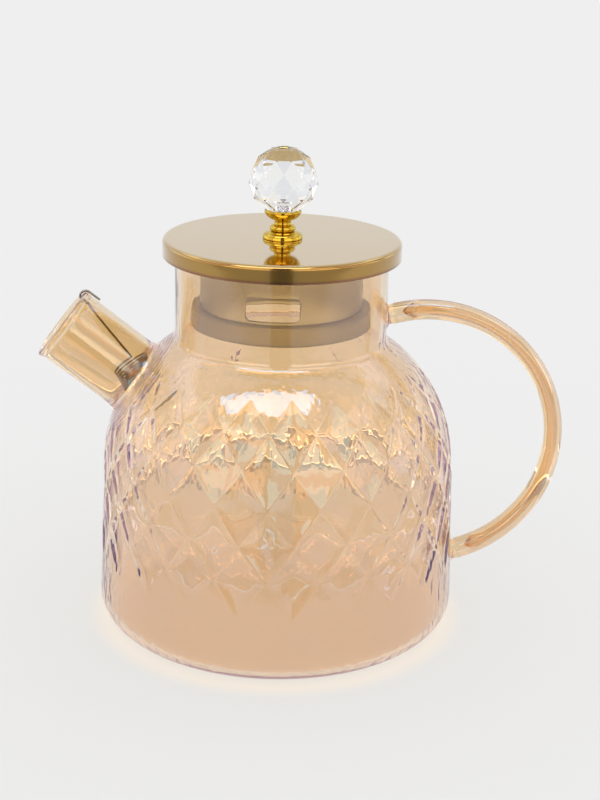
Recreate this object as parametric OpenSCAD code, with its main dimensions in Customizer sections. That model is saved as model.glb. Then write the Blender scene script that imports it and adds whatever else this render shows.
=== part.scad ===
// Glass teapot with a quilted body, a pressed lid, a cut-glass knob and a wire strainer.
// The origin is the centre of the base on the axis of the body. Z is up, the spout points
// along -X and the handle along +X. Everything is in millimetres.

/* [Glass body] */
// Outside diameter just above the rounded base
body_d = 139.8; // [130:0.2:150]
// Outside diameter where the shoulder begins
shoulder_d = 135.6; // [128:0.2:146]
// Height above the table where the shoulder begins
shoulder_z = 66; // [60:1:72]
// Radius of the curve that the shoulder follows
shoulder_r = 58.5; // [54:0.5:64]
// Radius of the rounded edge of the base
base_r = 11; // [6:0.5:15]
// Outside diameter of the neck
neck_d = 80.6; // [76:0.2:84]
// Hollow radius where the shoulder turns into the neck
neck_fillet = 4; // [2:0.5:7]
// Height of the rim above the table
rim_z = 150.1; // [140:0.1:160]
// Thickness of the blown wall
glass_t = 2.5; // [1.8:0.1:3]
// Thickness of the bottom
floor_t = 3.2; // [2:0.1:5]

/* [Quilted pattern] */
// Diamonds round the body
diamonds = 18; // [12:1:22]
// Rows of diamonds from the bottom to the shoulder
diamond_rows = 5; // [3:1:5]
// Half the height of one diamond, along the glass
diamond_half_h = 13.8; // [12:0.1:14.5]
// Height above the table of the lowest tips
quilt_z = 27.7; // [20:0.1:32]
// Depth of the hollow in the middle of each diamond
quilt_depth = 1.3; // [0.4:0.1:1.6]
// Turn of the pattern about the axis, in degrees
quilt_turn = 5; // [0:1:10]

/* [Spout] */
// Slope of the spout above the level, in degrees
spout_slope = 37.5; // [33:0.5:42]
// Height above the table at which the spout's axis meets the shoulder
spout_z = 97.5; // [92:0.5:101]
// Outside diameter of the spout's tube
spout_d = 28.8; // [26:0.2:31]
// Thickness of the spout's wall
spout_t = 2; // [1.5:0.1:2.5]
// Length of the tube from the shoulder to the mouth, along its axis
spout_len = 33.4; // [28:0.2:45]
// How far the rolled lip stands out from the tube
lip_out = 0.9; // [0.5:0.1:1.5]

/* [Handle] */
// Radius of the handle's loop, at the middle of its tube
loop_r = 50.5; // [46:0.5:56]
// Distance of the loop's centre from the axis of the body
loop_x = 56.5; // [52:0.5:62]
// Height of the loop's centre above the table
loop_z = 75; // [72:0.5:78]
// Outside diameter of the handle's tube
handle_d = 7.8; // [6.5:0.1:10]
// Bore of the handle's tube
handle_bore = 3.6; // [2:0.1:4.5]

/* [Lid] */
// How far the pressed cap stands out beyond the neck
cap_over = 4.7; // [3:0.1:7.7]
// Height of the cap with its skirt
cap_h = 6.6; // [5:0.1:9]
// Thickness of the cap's sheet
cap_t = 0.6; // [0.5:0.1:1]
// Radius of the cap's upper edge
cap_edge_r = 1.5; // [1:0.1:2.5]
// Gap between the lid and the glass rim that carries it
lid_gap = 0.3; // [0.2:0.05:0.5]
// Thickness of the collar's flange and roof
flange_t = 1.2; // [1:0.1:2]
// Gap between the collar and the bore of the neck
collar_gap = 7; // [5.5:0.1:9]
// Thickness of the collar's wall
collar_t = 1.8; // [1.6:0.1:2.5]
// Depth of the collar below its flange
collar_h = 33; // [30:0.1:37]
// Width of each window in the collar
window_w = 19.6; // [12:0.2:26]
// Height of each window in the collar
window_h = 9; // [6:0.2:12]
// Corner radius of the windows
window_r = 2; // [1:0.1:2.5]
// Height of the windows' lower edge above the seal ring's groove
window_over = 0.7; // [0.5:0.1:4]
// Turn of the windows about the axis, in degrees
window_turn = -6; // [-45:1:45]

/* [Seal ring] */
// Gap between the seal ring and the bore of the neck
seal_gap = 3.5; // [0.4:0.1:4.5]
// Height of the seal ring
seal_h = 7.5; // [5:0.1:9]
// Radius of its outer edges
seal_edge_r = 0.8; // [0.3:0.1:1]
// Depth of the groove that holds it
groove_t = 0.6; // [0.4:0.1:0.8]
// Height of the land below the groove
land_h = 1; // [0.8:0.1:2]
// Running clearance between the ring and its groove
seal_fit = 0.08; // [0.03:0.01:0.1]

/* [Knob] */
// Diameter over the points of the cut-glass ball
ball_d = 26; // [22:0.5:30]
// Facet columns round the ball
ball_facets = 10; // [8:1:14]
// Diameter of the foot of the knob's holder
holder_d = 15; // [13:0.1:18]
// Thickness of the foot of the holder
foot_h = 2.6; // [2:0.1:3]
// Diameter of the ring above the foot
ring_d = 9.8; // [9:0.1:11]
// Thickness of the ring above the foot
ring_h = 2.6; // [2:0.1:3]
// Diameter of the holder's waist
waist_d = 6.2; // [5.6:0.1:7]
// Height of the holder's waist
waist_h = 1.8; // [1.4:0.1:2.4]
// Diameter of the small step under the cup
step_d = 8.4; // [7.4:0.1:9]
// Outside diameter of the cup under the ball
cup_d = 14; // [13:0.1:15]
// Diameter of the flat seat that is ground under the ball
seat_d = 10; // [8:0.1:11]
// Height of the cup's floor above the waist
cup_floor = 2.6; // [2:0.1:3.4]

/* [Fastener] */
// Diameter of the threaded stud
stud_d = 4; // [3:0.5:4]
// Clearance of the stud in its holes, on the diameter
stud_fit = 0.3; // [0.1:0.05:0.5]
// Depth of the stud in the ball
stud_deep = 6.5; // [4:0.5:9]
// Thickness of the boss under the collar's roof
boss_h = 2; // [1:0.1:3]
// Diameter of the boss under the collar's roof
boss_d = 14; // [12:0.5:20]
// Diameter of the washer
washer_d = 9; // [8:0.1:12]
// Thickness of the washer
washer_t = 0.8; // [0.5:0.1:1.2]
// Width of the nut over its flats
nut_w = 7; // [6.5:0.1:8]
// Thickness of the nut
nut_h = 3.2; // [2.4:0.1:4]
// Length of thread that shows below the nut
stud_tail = 1.5; // [0.5:0.1:3]

/* [Strainer] */
// Diameter of the strainer's wire
wire_d = 0.9; // [0.7:0.05:1.1]
// Outside diameter of the coil
coil_d = 15; // [12:0.5:16]
// Turns of the coil
coil_turns = 8; // [5:1:9]
// Distance between the turns of the coil
coil_pitch = 1.35; // [1.2:0.05:1.5]
// Turns of the flat spiral that closes the coil
spiral_turns = 2; // [1:1:3]
// Tilt of the coil in the spout, in degrees
coil_tilt = 20; // [0:1:22]
// Distance of the coil's open end from the mouth, along the spout
coil_deep = 30; // [24:0.5:31]
// Height of the coil's open end above the spout's axis, across the spout
coil_up = 3.4; // [0:0.1:3.6]
// Length of the hook outside the mouth
hook_len = 5; // [3:0.5:9]
// Gap between the hook and the lip that it hangs on
hook_gap = 0.3; // [0.2:0.05:0.6]

/* [Hidden] */
eps = 0.01;
// Gap left where one glass piece is welded on the faceted side of another
weld_gap = 0.05;
// How far the fused bead stands off the glass, and how far it reaches beyond the tube
bead_h = 1.4;
bead_w = 1.5;
// Angle of the handle's loop over which each bead is drawn, and the angle that runs into the glass
bead_turn = 30;
root_turn = 6;

// --- outline of the blown body, as points [distance from the axis, height] ---
side_angle = atan((body_d - shoulder_d) / 2 / (shoulder_z - base_r));
side_len = (shoulder_z - base_r) / cos(side_angle);
shoulder_c = [shoulder_d / 2 - shoulder_r * cos(side_angle), shoulder_z - shoulder_r * sin(side_angle)];
neck_bore = neck_d - 2 * glass_t;
fillet_x = neck_d / 2 + neck_fillet;
fillet_up = sqrt(pow(shoulder_r + neck_fillet, 2) - pow(fillet_x - shoulder_c[0], 2));
fillet_c = [fillet_x, shoulder_c[1] + fillet_up];
top_angle = atan2(fillet_up, fillet_x - shoulder_c[0]);
// The rounded edge of the base touches the side here
edge_c = [body_d / 2 - base_r / cos(side_angle), base_r];
edge_s = base_r * tan(side_angle);
shoulder_len = side_len + shoulder_r * (top_angle - side_angle) * PI / 180;

function arc(c, r, a0, a1, n) = [for (i = [0:n]) let(a = a0 + (a1 - a0) * i / n) c + r * [cos(a), sin(a)]];
// Slope of the glass at a distance s up the wall, measured from the height base_r
function wall_angle(s) = s < side_len ? side_angle : side_angle + (s - side_len) / shoulder_r * 180 / PI;
function wall_normal(s) = [cos(wall_angle(s)), sin(wall_angle(s))];
function wall_point(s) = s < side_len
    ? [body_d / 2 - s * sin(side_angle), base_r + s * cos(side_angle)]
    : shoulder_c + shoulder_r * wall_normal(s);
// Outline moved inwards by t: the outside where t is 0
function wall_line(t, n) = concat(
    arc(edge_c, base_r - t, -90, side_angle, n),
    [for (i = [1:2 * n - 1]) let(s = edge_s + (shoulder_len - edge_s) * i / (2 * n))
        wall_point(s) - t * wall_normal(s)],
    arc(fillet_c, neck_fillet + t, top_angle + 180, 180, n));
// Solid of revolution inside the outline, grown outwards by g, for trimming what is welded on
module body_solid(g) {
    line = wall_line(-g, 10);
    top = rim_z - cap_h;
    rotate_extrude($fn = 144)
        polygon(concat([[0, -g]], line, [[neck_d / 2 + g, top], [0, top]]));
}

// --- quilted pattern ---
quilt_s = (quilt_z - base_r) / cos(side_angle);
half_rows = diamond_rows + 1;
steps = 2;
columns = diamonds * steps * 2;
column_a = 360 / columns;

// Distance up and down between 0 on a ridge and 1 in the middle of a diamond
function ripple(x) = sin(180 * (x - floor(x)));
// A diamond is sunk only if its middle lies inside the rows
function sunk(u, v) = let(middle = floor(u + v / 2) + floor(v / 2 - u) + 1)
    middle > 0 && middle < half_rows;
// Share of the full depth that is left near a weld: none on its bead, all of it further out
function away(p, c, r) = let(d = norm(p - c)) max(0, min(1, (d - r) / r));
function shoulder_x(z) = shoulder_c[0] + sqrt(pow(shoulder_r, 2) - pow(z - shoulder_c[1], 2));
spout_root = [-shoulder_x(spout_z), 0, spout_z];
handle_foot_z = loop_z - sqrt(pow(loop_r, 2) - pow(body_d / 2 - loop_x, 2));
handle_foot = [body_d / 2, 0, handle_foot_z];

function at(rz, a) = [rz[0] * cos(a), rz[0] * sin(a), rz[1]];
function quilt_point(i, j) = let(
    v = j / steps,
    u = i / (2 * steps),
    s = quilt_s + v * diamond_half_h,
    a = i * column_a - 90 + quilt_turn,
    p = at(wall_point(s), a),
    near = away(p, spout_root, spout_d / 2 + 2 * bead_w) * away(p, handle_foot, handle_d / 2 + 2 * bead_w),
    sink = sunk(u, v) ? quilt_depth * near * ripple(u + v / 2) * ripple(v / 2 - u) : 0)
    at(wall_point(s) - sink * wall_normal(s), a);
function plain_ring(rz) = [for (i = [0:columns - 1]) at(rz, i * column_a - 90 + quilt_turn)];

edge_rings = [for (p = arc(edge_c, base_r, -90, side_angle, 6)) plain_ring(p)];
side_rings = [plain_ring(wall_point((edge_s + quilt_s) / 2))];
quilt_rings = [for (j = [0:half_rows * steps]) [for (i = [0:columns - 1]) quilt_point(i, j)]];
quilt_end = quilt_s + half_rows * diamond_half_h;
shoulder_rings = [for (k = [1:2]) plain_ring(wall_point(quilt_end + (shoulder_len - quilt_end) * k / 2))];
fillet_rings = [for (k = [1:4]) plain_ring(arc(fillet_c, neck_fillet, top_angle + 180, 180, 4)[k])];
rim_r = glass_t / 2;
rim_rings = [for (p = arc([neck_d / 2 - rim_r, rim_z - rim_r], rim_r, 0, 90, 3)) plain_ring(p)];
rings = concat(edge_rings, side_rings, quilt_rings, shoulder_rings, fillet_rings, rim_rings);
first_quilt = len(edge_rings) + len(side_rings);

// Two triangles between four neighbouring points, parted along the ridge that crosses them
function ridge_up(i, j) = (i - j + first_quilt) % 2 == 0;
function cell(i, j) = let(
    a = j * columns + i,
    b = j * columns + (i + 1) % columns,
    c = a + columns,
    d = b + columns)
    ridge_up(i, j) ? [[a, c, d], [a, d, b]] : [[a, c, b], [b, c, d]];
vessel_faces = concat(
    [[for (i = [0:columns - 1]) i]],
    [for (j = [0:len(rings) - 2], i = [0:columns - 1], f = cell(i, j)) f],
    [[for (i = [columns - 1:-1:0]) (len(rings) - 1) * columns + i]]);

// --- spout's own frame: its mouth faces up, its axis is Z, and +X is the upper side ---
module on_spout() {
    translate(spout_root) rotate([0, spout_slope - 90, 0]) children();
}
spout_bore = spout_d - 2 * spout_t;
// How far the cut for the port runs on past the shoulder
port_out = 8;

module vessel() {
    color([0.93, 0.79, 0.6, 0.45])
        difference() {
            polyhedron(points = [for (r = rings, p = r) p], faces = vessel_faces, convexity = 8);
            rotate_extrude($fn = 144)
                polygon(concat(
                    [[0, floor_t], [edge_c[0], floor_t]],
                    [for (p = wall_line(glass_t, 12)) if (p[1] > floor_t + eps) p],
                    [[neck_bore / 2, rim_z + 1], [0, rim_z + 1]]));
            on_spout() translate([0, 0, -spout_d])
                cylinder(d = spout_bore, h = spout_d + port_out, $fn = 72);
        }
}

module spout() {
    lip_r = (spout_t + lip_out) / 2;
    color([0.93, 0.79, 0.6, 0.45])
        difference() {
            union() {
                on_spout() translate([0, 0, -spout_d])
                    cylinder(d = spout_d, h = spout_d + spout_len - lip_r, $fn = 72);
                on_spout() rotate_extrude($fn = 72)
                    translate([spout_bore / 2 + lip_r, spout_len - lip_r]) circle(lip_r, $fn = 32);
                intersection() {
                    on_spout() translate([0, 0, -spout_d])
                        cylinder(d = spout_d + 2 * bead_w, h = 2 * spout_d, $fn = 72);
                    body_solid(bead_h);
                }
            }
            body_solid(weld_gap);
            on_spout() translate([0, 0, -2 * spout_d])
                cylinder(d = spout_bore, h = 3 * spout_d + spout_len, $fn = 72);
        }
}

// Loop of the handle with a round section, swept between two angles
module loop(d, a0, a1) {
    translate([loop_x, 0, loop_z]) rotate([90, 0, 0]) rotate([0, 0, a0])
        rotate_extrude(angle = a1 - a0, $fn = 144) translate([loop_r, 0]) circle(d = d, $fn = 48);
}
loop_low = -asin((loop_z - handle_foot_z) / loop_r) - root_turn;
loop_high = 90 + asin((loop_x - neck_d / 2 + handle_d) / loop_r);

module handle() {
    color([0.93, 0.76, 0.55, 0.5])
        difference() {
            union() {
                loop(handle_d, loop_low, loop_high);
                intersection() {
                    union() {
                        loop(handle_d + 2 * bead_w, loop_low, loop_low + bead_turn);
                        loop(handle_d + 2 * bead_w, loop_high - bead_turn, loop_high);
                    }
                    body_solid(bead_h);
                }
            }
            body_solid(weld_gap);
            loop(handle_bore, loop_low - 1, loop_high + 1);
        }
}

// --- lid, built up from the gap over the rim ---
flange_z = rim_z + lid_gap;
cap_under = flange_z + flange_t;
cap_top = cap_under + cap_t;
cap_d = neck_d + 2 * cap_over;
stud_hole = stud_d + stud_fit;

// Half section of a pressed cap: r wide, from y0 up to y1, with its upper edge rounded by e
module cap_section(r, y0, y1, e) {
    translate([0, y0]) square([r, y1 - e - y0]);
    translate([0, y0]) square([r - e, y1 - y0]);
    translate([r - e, y1 - e]) circle(e, $fn = 32);
}

module lid_cap() {
    color([0.83, 0.72, 0.45])
        difference() {
            rotate_extrude($fn = 144)
                difference() {
                    cap_section(cap_d / 2, cap_top - cap_h, cap_top, cap_edge_r);
                    cap_section(cap_d / 2 - cap_t, cap_top - cap_h - 1, cap_under, cap_edge_r - cap_t);
                }
            translate([0, 0, cap_under - 1]) cylinder(d = stud_hole, h = cap_t + 2, $fn = 48);
        }
}

collar_z = cap_under - collar_h;
collar_d = neck_bore - 2 * collar_gap;
seal_d = neck_bore - 2 * seal_gap;
collar_in = collar_d / 2 - collar_t;
boss_z = flange_z - boss_h;
groove_z = collar_z + land_h;
groove_r = collar_d / 2 - groove_t;
window_z = groove_z + seal_h + window_over + window_h / 2;

module window_cut() {
    rotate([90, 0, window_turn])
        linear_extrude(collar_d + 2, center = true) {
            square([window_w - 2 * window_r, window_h], center = true);
            square([window_w, window_h - 2 * window_r], center = true);
            for (x = [-1, 1], y = [-1, 1])
                translate([x * (window_w / 2 - window_r), y * (window_h / 2 - window_r)])
                    circle(window_r, $fn = 24);
        }
}

module lid_collar() {
    color([0.72, 0.69, 0.63])
        difference() {
            rotate_extrude($fn = 144)
                polygon([
                    [0, cap_under],
                    [cap_d / 2 - cap_edge_r, cap_under],
                    [cap_d / 2 - cap_edge_r, flange_z],
                    [collar_d / 2, flange_z],
                    [collar_d / 2, groove_z + seal_h],
                    [groove_r, groove_z + seal_h],
                    [groove_r, groove_z],
                    [collar_d / 2, groove_z],
                    [collar_d / 2, collar_z],
                    [collar_in, collar_z],
                    [collar_in, flange_z],
                    [boss_d / 2, flange_z],
                    [boss_d / 2, boss_z],
                    [0, boss_z]]);
            translate([0, 0, window_z]) window_cut();
            translate([0, 0, boss_z - 1]) cylinder(d = stud_hole, h = cap_under - boss_z + 2, $fn = 48);
        }
}

module seal_ring() {
    in_r = groove_r + seal_fit;
    low = groove_z + seal_fit;
    high = groove_z + seal_h - seal_fit;
    e = seal_edge_r;
    color([0.66, 0.62, 0.56])
        rotate_extrude($fn = 144)
            union() {
                translate([in_r, low]) square([seal_d / 2 - e - in_r, high - low]);
                translate([in_r, low + e]) square([seal_d / 2 - in_r, high - low - 2 * e]);
                for (y = [low + e, high - e])
                    translate([seal_d / 2 - e, y]) circle(e, $fn = 24);
            }
}

// --- knob, with heights above the cap ---
seat_r = seat_d / 2;
waist_up = foot_h + ring_h + waist_h;
seat_up = waist_up + cup_floor;
ball_z = seat_up + sqrt(pow(ball_d / 2, 2) - pow(seat_r, 2));
cup_lip_r = 0.75;
// Gap for the glue between the ball and its cup
dish_gap = 0.12;

module knob_holder() {
    foot_e = foot_h / 2;
    ring_e = ring_h / 2;
    step_e = 0.6;
    lip_x = cup_d / 2 - cup_lip_r;
    lip_y = ball_z - sqrt(pow(ball_d / 2, 2) - pow(lip_x, 2));
    color([0.88, 0.68, 0.12])
        translate([0, 0, cap_top])
            difference() {
                rotate_extrude($fn = 72) {
                    square([holder_d / 2 - foot_e, foot_h]);
                    translate([holder_d / 2 - foot_e, foot_e]) circle(foot_e, $fn = 32);
                    translate([0, foot_h - eps]) square([ring_d / 2 - ring_e, ring_h + 2 * eps]);
                    translate([ring_d / 2 - ring_e, foot_h + ring_e]) circle(ring_e, $fn = 32);
                    translate([0, foot_h + ring_h]) square([waist_d / 2, waist_h]);
                    translate([step_d / 2 - step_e, waist_up + step_e]) circle(step_e, $fn = 32);
                    polygon([
                        [0, waist_up],
                        [step_d / 2 - step_e, waist_up],
                        [lip_x + cup_lip_r * cos(40), lip_y - cup_lip_r * sin(40)],
                        [lip_x, lip_y + cup_lip_r],
                        [0, lip_y + cup_lip_r]]);
                    translate([lip_x, lip_y]) circle(cup_lip_r, $fn = 32);
                }
                translate([0, 0, seat_up]) cylinder(r = seat_r, h = cup_d, $fn = 72);
                intersection() {
                    translate([0, 0, ball_z]) sphere(d = ball_d + 2 * dish_gap, $fn = 96);
                    translate([0, 0, seat_up]) cylinder(d = 2 * cup_d, h = ball_d, $fn = 72);
                }
                translate([0, 0, -1]) cylinder(d = stud_hole, h = seat_up + 2, $fn = 48);
            }
}

// Rows of points on the ball: height angle, and whether the row is turned by half a facet
ball_high = 67;
ball_step = 24;
ball_rows = [for (k = [0:4]) [ball_high - ball_step * k, k % 2]];
seat_row = [-acos(seat_r / (ball_d / 2)), 1];
ball_rings = concat(ball_rows, [seat_row]);
function ball_ring(row) = [for (i = [0:ball_facets - 1])
    let(a = (i + row[1] / 2) * 360 / ball_facets - 90)
    ball_d / 2 * [cos(row[0]) * cos(a), cos(row[0]) * sin(a), sin(row[0])]];
function ball_cell(i, k, n) = let(
    a = k * n + i,
    b = k * n + (i + 1) % n,
    c = a + n,
    d = b + n,
    turned = ball_rings[k][1] > 0)
    turned ? [[a, b, d], [a, d, c]] : [[a, b, c], [b, d, c]];

module crystal_ball() {
    n = ball_facets;
    rows = len(ball_rings);
    points = concat([for (row = ball_rings, p = ball_ring(row)) p], [[0, 0, ball_d / 2]]);
    faces = concat(
        [for (i = [0:n - 1]) [rows * n, (i + 1) % n, i]],
        [for (k = [0:rows - 2], i = [0:n - 1], f = ball_cell(i, k, n)) f],
        [[for (i = [0:n - 1]) (rows - 1) * n + i]]);
    color([0.93, 0.95, 0.97, 0.5])
        translate([0, 0, cap_top + ball_z])
            difference() {
                polyhedron(points = points, faces = faces, convexity = 4);
                translate([0, 0, seat_up - ball_z - 1])
                    cylinder(d = stud_hole, h = 1 + stud_deep, $fn = 48);
            }
}

washer_z = boss_z - washer_t;
nut_z = washer_z - nut_h;
stud_low = nut_z - stud_tail;

module knob_stud() {
    color([0.75, 0.76, 0.78])
        translate([0, 0, stud_low])
            cylinder(d = stud_d, h = cap_top + seat_up + stud_deep - stud_low, $fn = 48);
}

module knob_washer() {
    color([0.78, 0.79, 0.8])
        translate([0, 0, washer_z])
            difference() {
                cylinder(d = washer_d, h = washer_t, $fn = 72);
                translate([0, 0, -1]) cylinder(d = stud_hole, h = washer_t + 2, $fn = 48);
            }
}

module knob_nut() {
    color([0.72, 0.73, 0.75])
        translate([0, 0, nut_z])
            difference() {
                cylinder(d = nut_w / cos(30), h = nut_h, $fn = 6);
                translate([0, 0, -1]) cylinder(d = stud_d + eps, h = nut_h + 2, $fn = 48);
            }
}

// --- strainer: one wire, from the hook over the lip down to the coil in the root ---
// Its points are [across the spout upwards, sideways, along the spout from its root]
wire_r = wire_d / 2;
// How far the flat spiral dishes in, as a share of its pitch
spiral_dish = 0.25;
coil_r = coil_d / 2 - wire_r;
coil_c = [coil_up, 0, spout_len - coil_deep];
coil_len = coil_turns * coil_pitch;
turn_steps = 18;
arm_in = spout_bore / 2 - wire_r - hook_gap;
hook_out = spout_bore / 2 + spout_t + lip_out + hook_gap + wire_r;
hook_r = (hook_out - arm_in) / 2;
hook_top = spout_len + hook_gap + wire_r;

// A point of the coil, from its own frame into the spout's
function tilted(p) = coil_c + [
    p[0] * cos(coil_tilt) + p[2] * sin(coil_tilt),
    p[1],
    p[2] * cos(coil_tilt) - p[0] * sin(coil_tilt)];
function turn_point(k) = let(a = 90 + k * 360 / turn_steps)
    tilted([coil_r * cos(a), coil_r * sin(a), -k * coil_pitch / turn_steps]);
function spiral_point(k) = let(
    a = 90 + (coil_turns * turn_steps + k) * 360 / turn_steps,
    r = coil_r - k * coil_pitch / turn_steps)
    tilted([r * cos(a), r * sin(a), -coil_len - spiral_dish * k * coil_pitch / turn_steps]);
hook_points = concat(
    [[hook_out, 0, hook_top - hook_r - hook_len]],
    [for (a = [0:30:180]) [arm_in + hook_r + hook_r * cos(a), 0, hook_top - hook_r + hook_r * sin(a)]],
    [[arm_in, 0, hook_top - hook_r - spout_t]]);
wire_points = concat(
    hook_points,
    [for (k = [0:coil_turns * turn_steps]) turn_point(k)],
    [for (k = [1:spiral_turns * turn_steps]) spiral_point(k)]);

function unit(v) = v / norm(v);
function heading(p, i) = unit(p[min(i + 1, len(p) - 1)] - p[max(i - 1, 0)]);
// A side direction for each point, carried along the wire without twisting
function carried(p, i, side) = let(t = heading(p, i)) unit(side - (side * t) * t);
function sides(p, i, side, found) = i == len(p) ? found
    : let(s = carried(p, i, side)) sides(p, i + 1, s, concat(found, [s]));

// Tube of radius r along the points p, with n flat sides
module wire(p, r, n) {
    side = sides(p, 0, [0, 1, 0], []);
    points = [for (i = [0:len(p) - 1], k = [0:n - 1])
        let(a = k * 360 / n) p[i] + r * (cos(a) * side[i] + sin(a) * cross(heading(p, i), side[i]))];
    faces = concat(
        [[for (k = [n - 1:-1:0]) k]],
        [for (i = [0:len(p) - 2], k = [0:n - 1])
            [i * n + k, i * n + (k + 1) % n, (i + 1) * n + (k + 1) % n, (i + 1) * n + k]],
        [[for (k = [0:n - 1]) (len(p) - 1) * n + k]]);
    polyhedron(points = points, faces = faces, convexity = 10);
}

module strainer() {
    color([0.45, 0.43, 0.4])
        on_spout() wire(wire_points, wire_r, 6);
}

vessel();
spout();
handle();
lid_cap();
lid_collar();
seal_ring();
knob_holder();
crystal_ball();
knob_stud();
knob_washer();
knob_nut();
strainer();
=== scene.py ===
from math import atan2, cos, degrees, exp, hypot, pi, radians, sin, sqrt, tan
import bmesh
import bpy
from mathutils import Matrix, Vector, noise
from mathutils.bvhtree import BVHTree


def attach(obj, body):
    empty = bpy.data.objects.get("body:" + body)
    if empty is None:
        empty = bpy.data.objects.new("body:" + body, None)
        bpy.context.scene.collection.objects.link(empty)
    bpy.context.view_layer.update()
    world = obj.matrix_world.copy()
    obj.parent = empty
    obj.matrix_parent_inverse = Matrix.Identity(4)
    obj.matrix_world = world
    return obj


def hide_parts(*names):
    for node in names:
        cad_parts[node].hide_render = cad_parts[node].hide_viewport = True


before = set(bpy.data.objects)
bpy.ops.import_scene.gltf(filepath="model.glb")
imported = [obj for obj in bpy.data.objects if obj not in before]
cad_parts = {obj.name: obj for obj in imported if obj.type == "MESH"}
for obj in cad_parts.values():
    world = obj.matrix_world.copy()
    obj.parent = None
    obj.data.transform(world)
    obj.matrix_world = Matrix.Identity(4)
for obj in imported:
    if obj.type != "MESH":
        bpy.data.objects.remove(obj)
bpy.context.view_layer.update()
mm = 0.001
closePoints = 1e-7        # metres; points closer than this are one
print("frame loaded")


def linear(hexColour):
    values = [int(hexColour[i:i + 2], 16) / 255 for i in (1, 3, 5)]
    return [v / 12.92 if v <= 0.04045 else ((v + 0.055) / 1.055) ** 2.4 for v in values] + [1.0]


def plug(node, sockets):
    # each socket, by name or number, gets a value, a hex colour, an output, or a node's output in use
    for key, value in sockets.items() if isinstance(sockets, dict) else enumerate(sockets):
        if isinstance(value, bpy.types.Node):
            value = next(output for output in value.outputs if output.enabled)
        if isinstance(value, bpy.types.NodeSocket):
            node.id_data.links.new(value, node.inputs[key])
        else:
            node.inputs[key].default_value = linear(value) if isinstance(value, str) else value


settingNames = {"Math": "operation", "VectorMath": "operation", "Mix": "data_type",
                "MapRange": "interpolation_type"}


def addNode(tree, kind, sockets=(), setting=None):
    node = tree.nodes.new("ShaderNode" + kind)
    if setting:
        setattr(node, settingNames[kind], setting)
    plug(node, sockets)
    return node


def deselectAll():
    if bpy.context.object and bpy.context.object.mode != "OBJECT":
        bpy.ops.object.mode_set(mode="OBJECT")
    bpy.ops.object.select_all(action="DESELECT")


def activate(piece):
    deselectAll()
    piece.select_set(True)
    bpy.context.view_layer.objects.active = piece


def applyModifier(piece, kind, **settings):
    activate(piece)
    modifier = piece.modifiers.new(kind.lower(), kind)
    for key, value in settings.items():
        setattr(modifier, key, value)
    bpy.ops.object.modifier_apply(modifier=modifier.name)


def carve(piece, tool, operation="DIFFERENCE"):
    applyModifier(piece, "BOOLEAN", operation=operation, object=tool, solver="EXACT")
    bpy.data.objects.remove(tool)


def editWhole(piece, *steps):
    # runs edit mode's steps, each an operator and its settings, on all of a piece
    activate(piece)
    bpy.ops.object.mode_set(mode="EDIT")
    bpy.ops.mesh.select_all(action="SELECT")
    for step, settings in steps:
        step(**settings)
    bpy.ops.object.mode_set(mode="OBJECT")


def cleanUp(piece):
    editWhole(piece, (bpy.ops.mesh.remove_doubles, {"threshold": closePoints}),
              (bpy.ops.mesh.normals_make_consistent, {"inside": False}))


def smooth(piece, angle):
    activate(piece)
    bpy.ops.object.shade_smooth_by_angle(angle=radians(angle))


def newPiece(name, add, **settings):
    # what the operator adds, under its name
    deselectAll()
    add(**settings)
    piece = bpy.context.object
    piece.name = piece.data.name = name
    return piece


def arc(centre, radius, start, end, steps):
    # points on a circle between two angles in degrees
    points = []
    for i in range(steps + 1):
        a = radians(start + (end - start) * i / steps)
        points.append((centre[0] + radius * cos(a), centre[1] + radius * sin(a)))
    return points


def spinSection(name, section, steps, angle=None, closed=True):
    # a half section in mm, [distance from the axis, height], turned round the Z axis;
    # edges that turn by less than the angle are shaded smooth
    piece = newPiece(name, bpy.ops.mesh.primitive_circle_add, vertices=len(section))
    for vertex, (x, z) in zip(piece.data.vertices, section):
        vertex.co = (max(x, 0) * mm, 0, z * mm)
    if not closed:
        mesh = bmesh.new()
        mesh.from_mesh(piece.data)
        mesh.verts.ensure_lookup_table()
        mesh.edges.remove(mesh.edges.get((mesh.verts[0], mesh.verts[-1])))
        mesh.to_mesh(piece.data)
        mesh.free()
    turn = {"steps": steps, "angle": 2 * pi, "center": (0, 0, 0), "axis": (0, 0, 1)}
    editWhole(piece, (bpy.ops.mesh.spin, turn))
    cleanUp(piece)
    if angle:
        smooth(piece, angle)
    return piece


def moveTo(piece, matrix):
    piece.data.transform(matrix)
    piece.data.update()


def dress(piece, body, slot, material, *nodes):
    piece.data.materials.clear()
    piece.data.materials.append(material)
    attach(piece, body)
    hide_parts(*nodes)
    print("made", piece.name, len(piece.data.polygons), "faces")


camera = {
    "place": (0, -586.8, 289.3),   # mm, seen from a little above the lid
    "turn": 0.78,                  # degrees to the right of straight ahead
    "down": 18.93,
    "lean": 1.36,                  # degrees to one side
    "lens": 72,
    "sensor": 36,
    "near": 0.01,
}


def addCamera():
    deselectAll()
    bpy.ops.object.camera_add(location=[v * mm for v in camera["place"]])
    eye = bpy.context.object
    eye.rotation_mode = "XYZ"
    aim = Matrix.Rotation(radians(-camera["turn"]), 4, "Z")
    tip = Matrix.Rotation(radians(90 - camera["down"]), 4, "X")
    lean = Matrix.Rotation(radians(camera["lean"]), 4, "Z")
    eye.rotation_euler = (aim @ tip @ lean).to_euler("XYZ")
    eye.data.lens = camera["lens"]
    eye.data.sensor_width = camera["sensor"]
    eye.data.clip_start = camera["near"]
    bpy.context.scene.camera = eye
    print("camera placed")


addCamera()

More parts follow.
